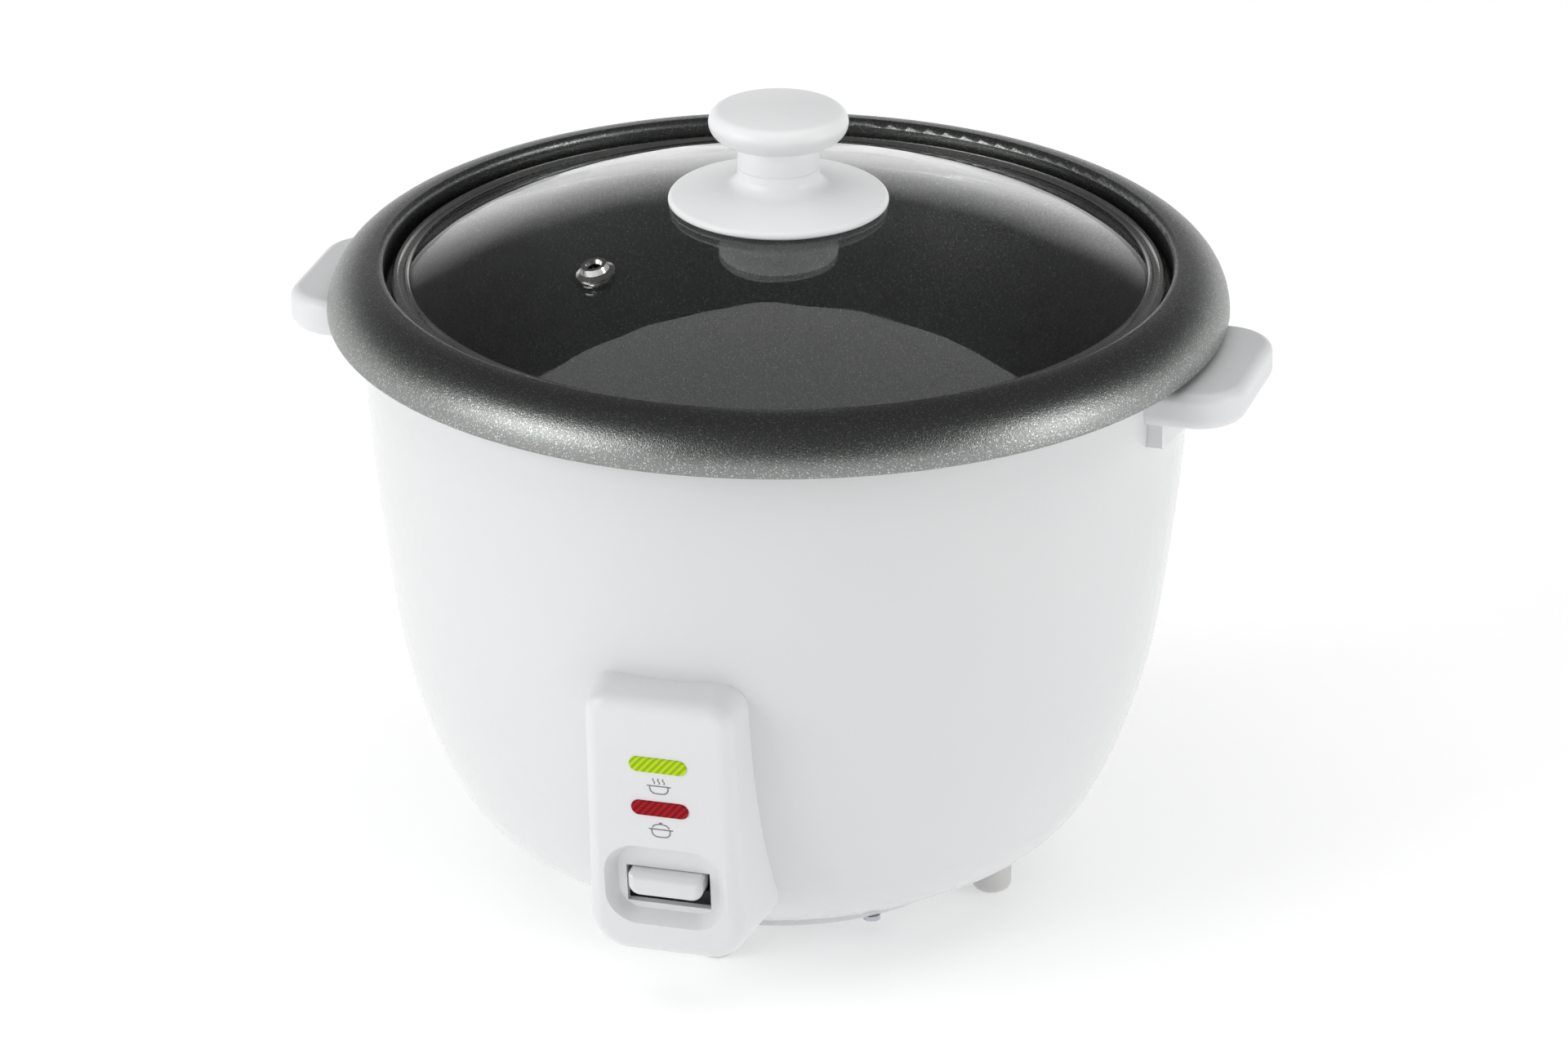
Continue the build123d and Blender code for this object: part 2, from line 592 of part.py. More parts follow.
with BuildPart() as front_panel:
    add(panel_form.part)
    add(panel_cavity.part, mode=Mode.SUBTRACT)
    with BuildSketch(FACE_PLANE):
        with Locations((0, up_face(DISH_Z))):
            RectangleRounded(DISH_WIDTH + 3, DISH_HEIGHT + 3, 11.5)
    extrude(amount=-(DISH_DEPTH + PANEL_WALL), taper=18)
    for x in (-11.0, 11.0):
        with Locations((x, -118.6, 98.0)):
            Cylinder(3.4, 16.0, rotation=(90, 0, 0))
    add(body_form.part, mode=Mode.SUBTRACT)
    drill([place.offset(1) for place in PANEL_PLACES], 1.4, 10)
    with BuildSketch(FACE_PLANE):
        with Locations((0, up_face(DISH_Z))):
            RectangleRounded(DISH_WIDTH, DISH_HEIGHT, 10.0)
    extrude(amount=-DISH_DEPTH, taper=32, mode=Mode.SUBTRACT)
    with BuildSketch(FACE_PLANE):
        with Locations((0, up_face((WINDOW_LOW + WINDOW_HIGH) / 2))):
            Rectangle(WINDOW_WIDTH, (WINDOW_HIGH - WINDOW_LOW) * FACE_SLANT)
    extrude(amount=-12, mode=Mode.SUBTRACT)
    with BuildSketch(FACE_PLANE):
        with Locations(*LENS_PLACES.values()):
            SlotOverall(LENS_LENGTH, LENS_HEIGHT)
    extrude(amount=-6, mode=Mode.SUBTRACT)


def lens(place):
    """A pill-shaped lens set in the face, with a crowned front and a flange behind."""
    with BuildPart() as part:
        with BuildSketch(FACE_PLANE.offset(-PANEL_WALL)):
            with Locations(place):
                SlotOverall(LENS_LENGTH, LENS_HEIGHT)
        extrude(amount=PANEL_WALL + LENS_PROUD)
        fillet(part.faces().sort_by(Axis.Y)[0].edges(), 0.9 * LENS_PROUD)
        with BuildSketch(FACE_PLANE.offset(-PANEL_WALL)):
            with Locations(place):
                SlotOverall(LENS_LENGTH + 2.4, LENS_HEIGHT + 2.4)
        extrude(amount=-LENS_FLANGE)
    return part


green_lens = lens(LENS_PLACES["green"])
red_lens = lens(LENS_PLACES["red"])


def lamp(place):
    """A small neon lamp that lies along its lens."""
    with BuildPart() as part:
        with Locations(FACE_PLANE.offset(-PANEL_WALL - LAMP_GAP)):
            with Locations(place):
                Cylinder(LAMP_R, LAMP_LENGTH, rotation=(0, 90, 0))
    return part


green_lamp = lamp(LENS_PLACES["green"])
red_lamp = lamp(LENS_PLACES["red"])

with BuildPart() as lamp_holder:
    with BuildSketch(FACE_PLANE.offset(-PANEL_WALL - HOLDER_GAP)):
        with Locations((0, up_face((GREEN_Z + RED_Z) / 2))):
            RectangleRounded(19.0, 24.0, 2.0)
    extrude(amount=-1.2)
    with BuildSketch(FACE_PLANE.offset(-PANEL_WALL - HOLDER_GAP)):
        for place in LENS_PLACES.values():
            with Locations(place):
                with GridLocations(8.0, 0, 2, 1):
                    Rectangle(1.6, 6.0)
    extrude(amount=3.0)
    add(green_lamp.part, mode=Mode.SUBTRACT)
    add(red_lamp.part, mode=Mode.SUBTRACT)

panel_screws = screws(
    [place.offset(-0.9) for place in PANEL_PLACES], MEDIUM_SCREW, 7.0)

# ---- key on the outer end of the lever ------------------------------------------------
KEY_WIDTH = 22.8
KEY_TOP = 48.9
KEY_BOTTOM = 41.3
with BuildPart() as cook_key:
    with BuildSketch(FACE_PLANE.offset(-DISH_DEPTH - 2.4)) as key_outline:
        with Locations((0, up_face((KEY_TOP + KEY_BOTTOM) / 2))):
            Rectangle(KEY_WIDTH, (KEY_TOP - KEY_BOTTOM) * FACE_SLANT)
        fillet(key_outline.vertices().group_by(Axis.Y)[0], 3.6)
        fillet(key_outline.vertices().group_by(Axis.Y)[-1], 1.2)
    extrude(amount=DISH_DEPTH + 2.6)
    fillet(cook_key.faces().sort_by(Axis.Y)[0].edges(), 2.4)
    with Locations((0, LEVER_TIP_Y - 8.0, LEVER_TIP_Z + 0.3)):
        Box(16.0, 17.0, 5.6, align=(Align.CENTER, Align.MIN, Align.CENTER))
    add(cook_lever.part, mode=Mode.SUBTRACT)

# ---- handles ---------------------------------------------------------------------------
def handle(side):
    """A ledge handle with rounded corners on a plate that hugs the body."""
    with BuildPart() as lug:
        with BuildSketch(Plane.XY.offset(HANDLE_TOP)) as plan:
            with Locations((side * (HANDLE_TIP + 100) / 2, 0)):
                Rectangle(HANDLE_TIP - 100, 2 * HANDLE_HALF)
            fillet(plan.vertices().filter_by(lambda v: abs(v.X) > 120), HANDLE_CORNER_R)
        extrude(amount=-HANDLE_THICK)
        for face, radius in ((lug.faces().sort_by(Axis.Z)[-1], 3.0),
                             (lug.faces().sort_by(Axis.Z)[0], 4.0)):
            fillet(face.edges().filter_by(lambda e: abs(e.center().X) > 110), radius)
    with BuildPart() as plate:
        with BuildSketch(Plane.XY.offset(FLANGE_LOW)):
            Circle(FLANGE_R)
        extrude(amount=HANDLE_TOP - 0.6 - FLANGE_LOW)
        with Locations((side * FLANGE_R, 0, FLANGE_LOW)):
            Box(60.0, 2 * FLANGE_HALF, 40.0, align=CENTRE_MIN, mode=Mode.INTERSECT)
    with BuildPart() as part:
        add(lug.part)
        add(plate.part)
        add(body_form.part, mode=Mode.SUBTRACT)
        drill([place.offset(2) for place in HANDLE_PLACES[side]], 1.6, 8.5)
    return part


handles = {"left": handle(-1), "right": handle(1)}
handle_screws = {
    name: screws(HANDLE_PLACES[side], WIDE_SCREW, 6.5)
    for name, side in (("left", -1), ("right", 1))
}

# ---- removable pot ---------------------------------------------------------------------
ROLL_X = RIM_LIP_R - RIM_ROLL_R
CREST_Z = RIM_LIP_Z + RIM_ROLL_R
EDGE_R = ROLL_X - SEAT_R
SEAT_FILLET = 1.5
with BuildPart() as inner_pot:
    with BuildSketch(Plane.XZ):
        with BuildLine() as pot_line:
            CenterArc((ROLL_X, RIM_LIP_Z), RIM_ROLL_R, 0, 90)
            edge = CenterArc((ROLL_X, CREST_Z - EDGE_R), EDGE_R, 90, 90)
            FilletPolyline(
                edge @ 1, (SEAT_R, SEAT_Z), (POT_MOUTH_R, SEAT_Z),
                (POT_BASE_R, POT_FLOOR + POT_WALL), (0, POT_FLOOR + POT_WALL),
                radius=[SEAT_FILLET, SEAT_FILLET, POT_CORNER_R],
            )
            offset(amount=POT_WALL, side=Side.LEFT)
        make_face()
        with Locations((RIM_LIP_R - RIM_BEAD_R, RIM_LIP_Z)):
            Circle(RIM_BEAD_R)
    revolve(axis=Axis.Z)

# ---- lid ---------------------------------------------------------------------------------
def dome_z(radius, depth=0.0):
    """Height of the dome's outer surface, or of one that lies deeper, at a radius."""
    return DOME_CENTRE_Z + sqrt((DOME_R - depth) ** 2 - radius ** 2)


def dome_section(outer_radius, inner_radius, high, low):
    """Closed section between two concentric dome curves."""
    middle = (outer_radius + inner_radius) / 2
    with BuildLine() as section:
        ThreePointArc((inner_radius, dome_z(inner_radius, high)), (middle, dome_z(middle, high)),
                      (outer_radius, dome_z(outer_radius, high)))
        Line((outer_radius, dome_z(outer_radius, high)), (outer_radius, dome_z(outer_radius, low)))
        ThreePointArc((outer_radius, dome_z(outer_radius, low)), (middle, dome_z(middle, low)),
                      (inner_radius, dome_z(inner_radius, low)))
        Line((inner_radius, dome_z(inner_radius, low)), (inner_radius, dome_z(inner_radius, high)))
    return section.line


vent_point = polar(VENT_R, -VENT_ANGLE, dome_z(VENT_R))
VENT_PLANE = Plane(
    origin=vent_point,
    z_dir=(vent_point[0], vent_point[1], vent_point[2] - DOME_CENTRE_Z),
)

with BuildPart() as lid_glass:
    with BuildSketch(Plane.XZ):
        make_face(dome_section(GLASS_EDGE_R, KNOB_SCREW_R + 1.0, 0, GLASS))
    revolve(axis=Axis.Z)
    with Locations(VENT_PLANE.offset(3)):
        Cylinder(VENT_TUBE_R, 12.0, align=CENTRE_MAX, mode=Mode.SUBTRACT)

with BuildPart() as lid_ring:
    with BuildSketch(Plane.XZ):
        with BuildLine():
            Polyline(
                (LID_RING_INNER_R, SEAT_Z), (LID_RING_R, SEAT_Z), (LID_RING_R, 193.7),
                (LID_RING_R - 0.8, 194.6), (LID_RING_R - 1.8, 194.7), (LID_RING_R - 2.4, 194.1),
                (LID_RING_R - 3.6, 194.2), (LID_RING_R - 4.2, 194.9), (LID_RING_R - 4.8, 195.1),
                (LID_RING_INNER_R, 194.7), close=True,
            )
        make_face()
        with BuildLine():
            Polyline(
                (LID_RING_INNER_R - 1, SEAT_Z + 0.8), (LID_RING_R - 0.8, SEAT_Z + 0.8),
                (LID_RING_R - 0.8, 193.4), (GLASS_EDGE_R, dome_z(GLASS_EDGE_R)),
                (LID_RING_INNER_R - 1, dome_z(LID_RING_INNER_R - 1)), close=True,
            )
        make_face(mode=Mode.SUBTRACT)
    revolve(axis=Axis.Z)
    add(lid_glass.part, mode=Mode.SUBTRACT)

VENT_SECTION = Plane(origin=vent_point, x_dir=VENT_PLANE.x_dir, z_dir=-VENT_PLANE.y_dir)
with BuildPart() as steam_vent:
    with BuildSketch(VENT_SECTION):
        with BuildLine():
            Polyline(
                (VENT_HOLE_R, -GLASS - 1.2), (5.0, -GLASS - 1.2), (5.0, -GLASS - 0.1),
                (VENT_TUBE_R, -GLASS - 0.1), (VENT_TUBE_R, 0.2), (VENT_FLANGE_R, 0.2),
                (VENT_FLANGE_R, 1.0), (4.4, 1.9), (3.8, 3.6), (2.6, 3.6), (VENT_HOLE_R, 2.6),
                close=True,
            )
        make_face()
    revolve(axis=Axis(vent_point, VENT_PLANE.z_dir))

# ---- knob -------------------------------------------------------------------------------
SKIRT_LOW = dome_z(KNOB_SKIRT_R) + 0.2
with BuildPart() as knob_base:
    with BuildSketch(Plane.XZ):
        with BuildLine():
            rim_low = (KNOB_SKIRT_R, SKIRT_LOW + 0.6)
            rim_high = (KNOB_SKIRT_R - 1.0, SKIRT_LOW + 2.4)
            skirt_top = (KNOB_NECK_R + 3.4, SKIRT_LOW + 5.6)
            neck_foot = (KNOB_NECK_R, SKIRT_LOW + 9.0)
            Line((0, dome_z(0) - 2), (KNOB_SKIRT_R - 0.8, SKIRT_LOW - 3))
            Line((KNOB_SKIRT_R - 0.8, SKIRT_LOW - 3), (KNOB_SKIRT_R - 0.8, SKIRT_LOW))
            Line((KNOB_SKIRT_R - 0.8, SKIRT_LOW), rim_low)
            TangentArc(rim_low, rim_high, tangent=(0.25, 1))
            Line(rim_high, skirt_top)
            TangentArc(skirt_top, neck_foot, tangent=(-1, 0.2))
            Polyline(neck_foot, (KNOB_NECK_R, KNOB_SEAM_Z - BREAK_EDGE),
                     (KNOB_NECK_R - BREAK_EDGE, KNOB_SEAM_Z), (0, KNOB_SEAM_Z),
                     (0, dome_z(0) - 2))
        make_face()
    revolve(axis=Axis.Z)
    with Locations((0, 0, DOME_CENTRE_Z)):
        Sphere(DOME_R + 0.1, mode=Mode.SUBTRACT)
    with Locations((0, 0, KNOB_SEAM_Z)):
        Cylinder(KNOB_SCREW_R, 20, align=CENTRE_MAX, mode=Mode.SUBTRACT)

# The cap's rim is round, and its crown is one shallow arc that leaves the rim smoothly.
CAP_MIDDLE_Z = (KNOB_TOP + KNOB_NECK_TOP) / 2
CAP_RISE = KNOB_TOP - CAP_MIDDLE_Z - KNOB_EDGE_R
CAP_REACH = KNOB_CAP_R - KNOB_EDGE_R
CROWN_R = (CAP_REACH ** 2 + CAP_RISE ** 2) / (2 * CAP_RISE) + KNOB_EDGE_R
CROWN_ANGLE = degrees(asin(CAP_REACH / (CROWN_R - KNOB_EDGE_R)))
with BuildPart() as knob_top:
    with BuildSketch(Plane.XZ):
        with BuildLine():
            flare_foot = (KNOB_NECK_R, KNOB_NECK_TOP - 1.5)
            flare_end = (KNOB_NECK_R + 2.4, KNOB_NECK_TOP + 0.3)
            rim = (KNOB_CAP_R, CAP_MIDDLE_Z)
            Polyline((0, KNOB_SEAM_Z), (KNOB_NECK_R - BREAK_EDGE, KNOB_SEAM_Z),
                     (KNOB_NECK_R, KNOB_SEAM_Z + BREAK_EDGE), flare_foot)
            TangentArc(flare_foot, flare_end, tangent=(0, 1))
            TangentArc(rim, flare_end, tangent=(0, -1))
            rim_arc = JernArc(rim, (0, 1), KNOB_EDGE_R, 90 - CROWN_ANGLE)
            crown_arc = TangentArc(rim_arc @ 1, (0, KNOB_TOP), tangent=rim_arc % 1)
            Line(crown_arc @ 1, (0, KNOB_SEAM_Z))
        make_face()
    revolve(axis=Axis.Z)
    with Locations((0, 0, KNOB_SEAM_Z)):
        Cylinder(KNOB_SCREW_R, KNOB_SCREW_DEPTH, align=CENTRE_MIN, mode=Mode.SUBTRACT)

GLASS_UNDER = dome_z(0, GLASS)
knob_washer = turned(
    (KNOB_SCREW_R, GLASS_UNDER - 1.4), (8.0, GLASS_UNDER - 1.4), (8.0, dome_z(8.0, GLASS) - 0.05),
    (KNOB_SCREW_R, dome_z(8.0, GLASS) - 0.05),
)
KNOB_PLACE = Plane(origin=(0, 0, GLASS_UNDER - 1.4), z_dir=(0, 0, -1))
knob_screw = screws([KNOB_PLACE], (4.6, 2.4, KNOB_SCREW_R), 18.0)

# ---- write every sub-part ----------------------------------------------------------------
SUBPARTS = {
    "outer_shell": outer_shell,
    "inner_liner": inner_liner,
    "keep_warm_band": keep_warm_band,
    "heating_plate": heating_plate,
    "heating_element": heating_element,
    "plate_screws": plate_screws,
    "thermostat_housing": thermostat_housing,
    "thermostat_screws": thermostat_screws,
    "sensor_cap": sensor_cap,
    "ferrite": ferrite,
    "sensor_spring": sensor_spring,
    "magnet": magnet,
    "magnet_rod": magnet_rod,
    "magnet_spring": magnet_spring,
    "cook_lever": cook_lever,
    "cook_key": cook_key,
    "lever_pin": lever_pin,
    "lever_bracket": lever_bracket,
    "bracket_screws": bracket_screws,
    "microswitch": microswitch,
    "switch_plunger": switch_plunger,
    "switch_screws": switch_screws,
    "base_cover": base_cover,
    "base_screws": base_screws,
    **feet,
    "foot_screws": foot_screws,
    "terminal_block": terminal_block,
    "thermal_fuse": thermal_fuse,
    "fuse_clip": fuse_clip,
    "power_inlet": power_inlet,
    "inlet_pins": inlet_pins,
    "inlet_screws": inlet_screws,
    "front_panel": front_panel,
    "panel_screws": panel_screws,
    "green_lens": green_lens,
    "red_lens": red_lens,
    "green_lamp": green_lamp,
    "red_lamp": red_lamp,
    "lamp_holder": lamp_holder,
    **{f"handle_{name}": part for name, part in handles.items()},
    **{f"handle_screws_{name}": part for name, part in handle_screws.items()},
    "inner_pot": inner_pot,
    "lid_glass": lid_glass,
    "lid_ring": lid_ring,
    "steam_vent": steam_vent,
    "knob_base": knob_base,
    "knob_top": knob_top,
    "knob_washer": knob_washer,
    "knob_screw": knob_screw,
}

for name, part in SUBPARTS.items():
    save(part, name)
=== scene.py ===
import json
import math

import bpy
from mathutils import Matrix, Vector


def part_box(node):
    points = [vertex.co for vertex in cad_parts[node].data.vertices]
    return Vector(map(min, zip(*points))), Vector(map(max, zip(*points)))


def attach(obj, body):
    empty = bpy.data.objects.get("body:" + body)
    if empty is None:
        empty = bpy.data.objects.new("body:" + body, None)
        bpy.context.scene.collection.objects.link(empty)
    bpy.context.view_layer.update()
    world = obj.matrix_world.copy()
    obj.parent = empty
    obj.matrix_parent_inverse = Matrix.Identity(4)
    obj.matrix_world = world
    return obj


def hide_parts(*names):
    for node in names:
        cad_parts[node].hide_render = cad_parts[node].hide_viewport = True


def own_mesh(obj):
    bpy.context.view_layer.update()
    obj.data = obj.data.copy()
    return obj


# Rice cooker: finishes, printed marks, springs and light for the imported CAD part.
# Metres, +Z up, panel towards -Y.
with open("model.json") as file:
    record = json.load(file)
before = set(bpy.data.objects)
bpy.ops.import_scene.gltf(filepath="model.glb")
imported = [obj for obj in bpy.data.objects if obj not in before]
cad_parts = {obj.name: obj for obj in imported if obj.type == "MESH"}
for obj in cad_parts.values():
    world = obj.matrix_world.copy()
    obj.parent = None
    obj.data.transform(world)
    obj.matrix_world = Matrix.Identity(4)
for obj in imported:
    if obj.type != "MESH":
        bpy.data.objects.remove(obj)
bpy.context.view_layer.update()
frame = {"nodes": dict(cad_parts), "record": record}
NODES = frame["nodes"]
MM = 0.001


# ---- node helpers ----------------------------------------------------------------------
def new_material(name):
    """A new node material: the material, its tree, its shader and its coordinates."""
    mat = bpy.data.materials.new(name)
    mat.use_nodes = True
    tree = mat.node_tree
    shader = tree.nodes["Principled BSDF"]
    coords = tree.nodes.new("ShaderNodeTexCoord")
    return mat, tree, shader, coords


def noise(tree, coords, scale, detail=3.0, roughness=0.5):
    """A noise texture in object space; scale is in features per metre."""
    node = tree.nodes.new("ShaderNodeTexNoise")
    node.inputs["Scale"].default_value = scale
    node.inputs["Detail"].default_value = detail
    node.inputs["Roughness"].default_value = roughness
    tree.links.new(coords.outputs["Object"], node.inputs["Vector"])
    return node.outputs["Fac"]


def spread(tree, value, low, high, start=0.3, end=0.7):
    """The value from start to end mapped onto low to high."""
    node = tree.nodes.new("ShaderNodeMapRange")
    node.inputs["From Min"].default_value = start
    node.inputs["From Max"].default_value = end
    node.inputs["To Min"].default_value = low
    node.inputs["To Max"].default_value = high
    tree.links.new(value, node.inputs["Value"])
    return node.outputs["Result"]


def two_colours(tree, value, first, second):
    """A colour between two, by a value from 0 to 1."""
    node = tree.nodes.new("ShaderNodeMix")
    node.data_type = "RGBA"
    node.inputs["A"].default_value = (*first, 1.0)
    node.inputs["B"].default_value = (*second, 1.0)
    tree.links.new(value, node.inputs["Factor"])
    return node.outputs["Result"]


def add_bump(tree, shader, height, relief):
    """Bump the surface by a height from 0 to 1 times a relief in metres."""
    bump = tree.nodes.new("ShaderNodeBump")
    bump.inputs["Strength"].default_value = 1.0
    bump.inputs["Distance"].default_value = relief
    tree.links.new(height, bump.inputs["Height"])
    tree.links.new(bump.outputs["Normal"], shader.inputs["Normal"])


# ---- materials -------------------------------------------------------------------------
# Colours are linear. Scales are features per metre, and reliefs are depths.
COAT_DARK = (0.245, 0.256, 0.248)
COAT_FLAKE = (0.82, 0.84, 0.81)
FLAKE_SCALE = 1500.0
CLOUD_SCALE = 900.0
COAT_GRAIN = 2200.0

WHITE = (0.70, 0.705, 0.71)
WHITE_SHADE = (0.68, 0.687, 0.695)

METAL_PATCH = 60.0

GLASS_TINT = (0.975, 0.985, 0.982)
GLASS_IOR = 1.5
RIPPLE_SCALE = 35.0
SMUDGE_SCALE = 70.0

RIB_SCALE = 300.0
RIB_WANDER = 0.4
RIB_RELIEF = 0.2 * MM
LENS_SHEEN = 0.12


def plain_finish(name, light, dark, patch, rough, grain, relief, **fixed):
    """A finish with soft colour patches, uneven gloss and a fine surface grain.
    patch and grain are scales, rough is (low, high), and fixed holds shader inputs."""
    mat, tree, shader, coords = new_material(name)
    patches = noise(tree, coords, patch)
    tree.links.new(
        two_colours(tree, spread(tree, patches, 0.0, 1.0), light, dark),
        shader.inputs["Base Color"],
    )
    fine = noise(tree, coords, grain, detail=2.0)
    tree.links.new(spread(tree, fine, *rough), shader.inputs["Roughness"])
    add_bump(tree, shader, fine, relief)
    for socket, value in fixed.items():
        shader.inputs[socket.replace("_", " ")].default_value = value
    return mat


def metal_finish(name, light, dark, rough, grain, relief):
    """Bare metal with slightly uneven gloss."""
    return plain_finish(name, light, dark, METAL_PATCH, rough, grain, relief, Metallic=1.0)


def coated_aluminium():
    """Dark non-stick coating with metal flakes in it, thicker in some places."""
    mat, tree, shader, coords = new_material("nonstick_coat")
    cells = tree.nodes.new("ShaderNodeTexVoronoi")
    cells.inputs["Scale"].default_value = FLAKE_SCALE
    tree.links.new(coords.outputs["Object"], cells.inputs["Vector"])
    flakes = spread(tree, cells.outputs["Distance"], 1.0, 0.0, start=0.1, end=0.42)
    clouds = noise(tree, coords, CLOUD_SCALE, detail=4.0, roughness=0.7)
    flakes_shown = tree.nodes.new("ShaderNodeMath")
    flakes_shown.operation = "MULTIPLY"
    tree.links.new(flakes, flakes_shown.inputs[0])
    tree.links.new(
        spread(tree, clouds, 0.0, 1.0, start=0.38, end=0.62), flakes_shown.inputs[1]
    )
    tree.links.new(
        two_colours(tree, flakes_shown.outputs[0], COAT_DARK, COAT_FLAKE),
        shader.inputs["Base Color"],
    )
    grain = noise(tree, coords, COAT_GRAIN, detail=2.0)
    tree.links.new(spread(tree, grain, 0.27, 0.42), shader.inputs["Roughness"])
    add_bump(tree, shader, grain, 0.1 * MM)
    shader.inputs["Metallic"].default_value = 1.0
    shader.inputs["Coat Weight"].default_value = 0.15
    shader.inputs["Coat Roughness"].default_value = 0.3
    return mat


def clear_glass():
    """Tempered glass with a faint green-grey body, slight waves and faint smudges."""
    mat, tree, shader, coords = new_material("lid_glass_clear")
    ripple = noise(tree, coords, RIPPLE_SCALE, detail=1.0)
    smudge = noise(tree, coords, SMUDGE_SCALE, detail=4.0, roughness=0.6)
    tree.links.new(
        spread(tree, smudge, 0.0, 0.05, start=0.45, end=0.8), shader.inputs["Roughness"]
    )
    add_bump(tree, shader, ripple, 0.1 * MM)
    shader.inputs["Base Color"].default_value = (*GLASS_TINT, 1.0)
    shader.inputs["Transmission Weight"].default_value = 1.0
    shader.inputs["IOR"].default_value = GLASS_IOR
    return mat


def lit_lens(name, light, dark, glow):
    """A softly glowing coloured lens with slanted ribs. Its colour and glow are painted
    lighter on the rib ridges and darker in the grooves: painted highlight and painted shade
    along the ribs.
    """
    mat, tree, shader, coords = new_material(name)
    ribs = tree.nodes.new("ShaderNodeTexWave")
    ribs.wave_type = "BANDS"
    ribs.bands_direction = "DIAGONAL"
    ribs.inputs["Scale"].default_value = RIB_SCALE
    ribs.inputs["Distortion"].default_value = RIB_WANDER
    mirror = tree.nodes.new("ShaderNodeMapping")
    mirror.inputs["Scale"].default_value = (-1.0, 1.0, 1.0)
    tree.links.new(coords.outputs["Object"], mirror.inputs["Vector"])
    tree.links.new(mirror.outputs["Vector"], ribs.inputs["Vector"])
    height = ribs.outputs["Fac"]
    # The rib height picks the colour and glow: painted shade in the grooves, painted
    # highlight on the ridges.
    colour = two_colours(tree, height, dark, light)
    tree.links.new(colour, shader.inputs["Base Color"])
    tree.links.new(colour, shader.inputs["Emission Color"])
    shader.inputs["Emission Strength"].default_value = glow
    tree.links.new(
        spread(tree, height, 0.12, 0.22, start=0.0, end=1.0), shader.inputs["Roughness"]
    )
    add_bump(tree, shader, height, RIB_RELIEF)
    shader.inputs["Specular IOR Level"].default_value = LENS_SHEEN
    return mat


MATERIALS = {
    "enamel": plain_finish(
        "white_enamel", light=WHITE, dark=WHITE_SHADE,
        patch=9.0, rough=(0.16, 0.24), grain=260.0, relief=0.02 * MM,
        Coat_Weight=0.35, Coat_Roughness=0.08,
    ),
    "white_plastic": plain_finish(
        "moulded_plastic", light=(0.74, 0.745, 0.752), dark=(0.715, 0.72, 0.73),
        patch=20.0, rough=(0.34, 0.44), grain=1800.0, relief=0.03 * MM,
    ),
    "gloss_white": plain_finish(
        "gloss_plastic", light=WHITE, dark=WHITE_SHADE,
        patch=25.0, rough=(0.10, 0.16), grain=500.0, relief=0.01 * MM,
        Coat_Weight=0.5, Coat_Roughness=0.05,
    ),
    "foot_plastic": plain_finish(
        "foot_plastic_grey", light=(0.66, 0.66, 0.65), dark=(0.6, 0.6, 0.59),
        patch=90.0, rough=(0.4, 0.52), grain=2500.0, relief=0.04 * MM,
    ),
    "black_plastic": plain_finish(
        "black_moulding", light=(0.022, 0.022, 0.023), dark=(0.034, 0.034, 0.035),
        patch=90.0, rough=(0.4, 0.55), grain=2200.0, relief=0.05 * MM,
    ),
    "green_lens": lit_lens(
        "green_lamp_lens", light=(0.40, 0.55, 0.01), dark=(0.20, 0.34, 0.003), glow=0.3
    ),
    "red_lens": lit_lens(
        "red_lamp_lens", light=(0.33, 0.004, 0.008), dark=(0.14, 0.001, 0.003), glow=0.22
    ),
    "lamp_glass": plain_finish(
        "neon_glass", light=(0.8, 0.45, 0.3), dark=(0.75, 0.38, 0.24),
        patch=300.0, rough=(0.05, 0.12), grain=900.0, relief=0.01 * MM,
        Coat_Weight=0.6,
    ),
    "nonstick": coated_aluminium(),
    "cast_aluminium": metal_finish(
        "cast_alloy", light=(0.62, 0.63, 0.64), dark=(0.52, 0.53, 0.54),
        rough=(0.36, 0.5), grain=1500.0, relief=0.08 * MM,
    ),
    "liner_metal": metal_finish(
        "aluminised_sheet", light=(0.58, 0.59, 0.6), dark=(0.5, 0.51, 0.52),
        rough=(0.3, 0.44), grain=700.0, relief=0.04 * MM,
    ),
    "steel": metal_finish(
        "stainless_steel", light=(0.66, 0.66, 0.65), dark=(0.56, 0.56, 0.55),
        rough=(0.16, 0.28), grain=1200.0, relief=0.02 * MM,
    ),
    "zinc_steel": metal_finish(
        "zinc_plated_steel", light=(0.64, 0.66, 0.7), dark=(0.5, 0.53, 0.58),
        rough=(0.26, 0.4), grain=1300.0, relief=0.04 * MM,
    ),
    "spring_steel": metal_finish(
        "spring_wire", light=(0.5, 0.5, 0.5), dark=(0.38, 0.38, 0.38),
        rough=(0.24, 0.36), grain=1600.0, relief=0.03 * MM,
    ),
    "brass": metal_finish(
        "brass_pins", light=(0.72, 0.52, 0.22), dark=(0.6, 0.42, 0.17),
        rough=(0.2, 0.32), grain=1300.0, relief=0.02 * MM,
    ),
    "ferrite": plain_finish(
        "ferrite_grey", light=(0.05, 0.05, 0.055), dark=(0.08, 0.08, 0.085),
        patch=300.0, rough=(0.45, 0.6), grain=3000.0, relief=0.08 * MM,
    ),
    "ceramic": plain_finish(
        "glazed_ceramic", light=(0.78, 0.75, 0.69), dark=(0.7, 0.67, 0.61),
        patch=150.0, rough=(0.25, 0.4), grain=1800.0, relief=0.05 * MM,
    ),
    "mica": plain_finish(
        "mica_wrap", light=(0.5, 0.42, 0.28), dark=(0.38, 0.31, 0.2),
        patch=220.0, rough=(0.3, 0.5), grain=1200.0, relief=0.1 * MM,
    ),
    "glass": clear_glass(),
    "silicone": plain_finish(
        "silicone_rubber", light=(0.72, 0.71, 0.68), dark=(0.66, 0.65, 0.62),
        patch=120.0, rough=(0.5, 0.62), grain=2600.0, relief=0.05 * MM,
    ),
}
KNOB_NODES = ("knob_base", "knob_top")
